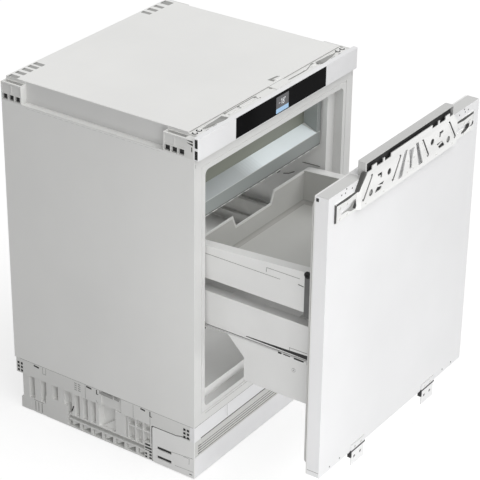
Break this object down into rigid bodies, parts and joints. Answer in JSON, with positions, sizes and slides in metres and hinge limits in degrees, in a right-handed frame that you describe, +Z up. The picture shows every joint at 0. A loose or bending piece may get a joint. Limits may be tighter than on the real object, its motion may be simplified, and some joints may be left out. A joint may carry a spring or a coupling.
{
  "type": "undercounter freezer",
  "caption": "Built-in undercounter freezer whose whole front pulls out with a shallow upper tub and a deep lower tub on telescopic rails.",
  "frame": {"origin": "centre of the bounding box on the floor, with the front pulled out", "axes": "+X to the right seen from the front, -Y out of the front, +Z up"},
  "size_m": [0.597, 0.8318, 0.82],
  "materials": {
    "cabinet_steel": "fine satin paint",
    "white_front": "smooth satin moulding",
    "white_liner": "vacuum formed sheet, low gloss",
    "insulation": "closed-cell foam",
    "black_glass": "polished pane",
    "display": "lit panel",
    "base_moulding": "grained moulding",
    "tub_plastic": "smooth moulding",
    "door_white": "smooth paint",
    "seal_rubber": "soft matte",
    "zinc_sheet": "bright zinc",
    "box_plastic": "smooth moulding",
    "black_shell": "semi-gloss enamel",
    "black_plastic": "fine grain",
    "bare_aluminium": "mill finish",
    "heater_steel": "drawn tube",
    "mount_rubber": "matte",
    "foot_plastic": "matte"
  },
  "bodies": {
    "cabinet": {"back_panel": "cabinet_steel", "base_cover_left": "white_front", "base_cover_right": "white_front", "base_rail_left": "base_moulding", "base_rail_right": "base_moulding", "base_tray": "zinc_sheet", "bottom_plate": "cabinet_steel", "compressor": "black_shell", "compressor_mounts": "mount_rubber", "condenser": "bare_aluminium", "condenser_fan_motor": "black_plastic", "control_fascia": "white_front", "control_glass": "black_glass", "corner_block_front_left": "base_moulding", "corner_block_front_right": "base_moulding", "corner_block_rear_left": "base_moulding", "corner_block_rear_right": "base_moulding", "defrost_heater": "heater_steel", "display_module": "display", "drain_tray": "black_plastic", "evaporator_coil": "bare_aluminium", "evaporator_cover": "white_liner", "evaporator_fan_motor": "black_plastic", "fixed_rail_left": "zinc_sheet", "fixed_rail_right": "zinc_sheet", "front_frame": "white_front", "inner_liner": "white_liner", "insulation_foam": "insulation", "power_inlet": "black_plastic", "rear_air_duct": "white_liner", "side_panel_left": "cabinet_steel", "side_panel_right": "cabinet_steel", "sill_trim": "white_front", "toe_kick": "white_front", "top_panel": "cabinet_steel", "vent_grille": "white_front", "worktop_clip": "zinc_sheet", "worktop_strip": "base_moulding"},
    "drawer_front": {"door_panel": "door_white", "door_lining": "white_liner", "door_foam": "insulation", "door_seal": "seal_rubber", "fixing_rail": "zinc_sheet", "mount_box": "box_plastic", "bottom_clips": "zinc_sheet", "upper_tub": "tub_plastic", "lower_tub": "tub_plastic", "carrier_frame_left": "tub_plastic", "carrier_frame_right": "tub_plastic", "drawer_rail_left": "zinc_sheet", "drawer_rail_right": "zinc_sheet"},
    "middle_rails": {"middle_rail_left": "zinc_sheet", "middle_rail_right": "zinc_sheet"},
    "evaporator_fan": {"evaporator_fan": "black_plastic"},
    "condenser_fan": {"condenser_fan": "black_plastic"},
    "foot_front_left": {"foot_front_left": "foot_plastic"},
    "foot_front_right": {"foot_front_right": "foot_plastic"},
    "foot_rear_left": {"foot_rear_left": "foot_plastic"},
    "foot_rear_right": {"foot_rear_right": "foot_plastic"}
  },
  "joints": [
    {"name": "drawer_slide", "type": "slide", "parent": "cabinet", "child": "drawer_front", "axis": [0, -1, 0], "range_m": [-0.272, 0.1]},
    {"name": "middle_rail_slide", "type": "slide", "parent": "cabinet", "child": "middle_rails", "axis": [0, -1, 0], "range_m": [-0.136, 0.05]},
    {"name": "evaporator_fan_spin", "type": "hinge", "parent": "cabinet", "child": "evaporator_fan", "pos_m": [0, 0.30775, 0.672], "axis": [0, 1, 0], "continuous": true},
    {"name": "condenser_fan_spin", "type": "hinge", "parent": "cabinet", "child": "condenser_fan", "pos_m": [-0.0585, 0.04085, 0.072], "axis": [0, 1, 0], "continuous": true},
    {"name": "foot_front_left_screw", "type": "slide", "parent": "cabinet", "child": "foot_front_left", "axis": [0, 0, -1], "range_m": [0, 0.05]},
    {"name": "foot_front_right_screw", "type": "slide", "parent": "cabinet", "child": "foot_front_right", "axis": [0, 0, -1], "range_m": [0, 0.05]},
    {"name": "foot_rear_left_screw", "type": "slide", "parent": "cabinet", "child": "foot_rear_left", "axis": [0, 0, -1], "range_m": [0, 0.05]},
    {"name": "foot_rear_right_screw", "type": "slide", "parent": "cabinet", "child": "foot_rear_right", "axis": [0, 0, -1], "range_m": [0, 0.05]}
  ],
  "couplings": [
    {"joint": "middle_rail_slide", "follows": "drawer_slide", "ratio": 0.5}
  ]
}
